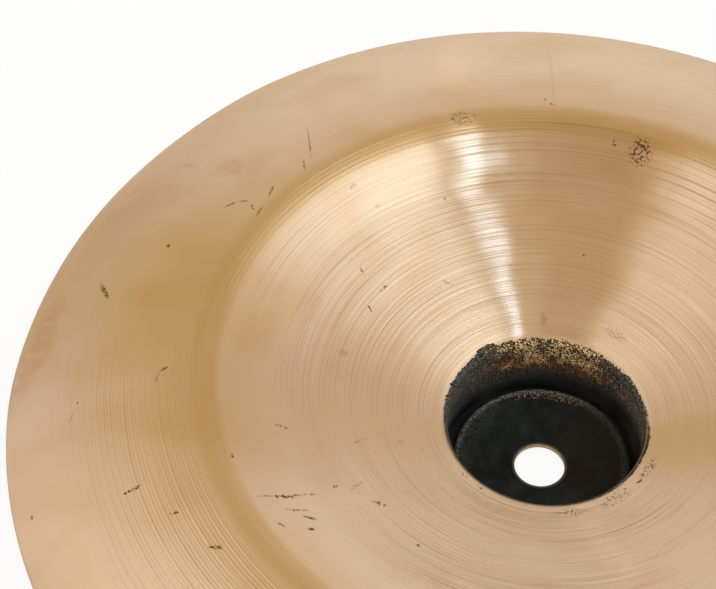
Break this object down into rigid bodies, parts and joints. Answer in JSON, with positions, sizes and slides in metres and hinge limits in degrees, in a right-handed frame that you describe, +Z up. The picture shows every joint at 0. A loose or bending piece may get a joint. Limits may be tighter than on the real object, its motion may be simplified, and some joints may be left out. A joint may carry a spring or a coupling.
{
  "type": "china cymbal",
  "caption": "Round bronze china cymbal with a drum-shaped bell, a cupped bow, a crease and a turned-back flange, lying bell down.",
  "frame": {"origin": "centre of the circle that the bell rests on, straight below the mounting hole", "axes": "+Z up along the cymbal's axis, from the bell towards the open side; X and Y are alike, because the body is turned"},
  "size_m": [0.305, 0.305, 0.0519],
  "materials": {
    "lathed_bronze": "lathed and lightly polished tin bronze, with fine turned grooves and black forge scale left inside the bell"
  },
  "bodies": {
    "root": {"cymbal": "lathed_bronze"}
  },
  "joints": []
}
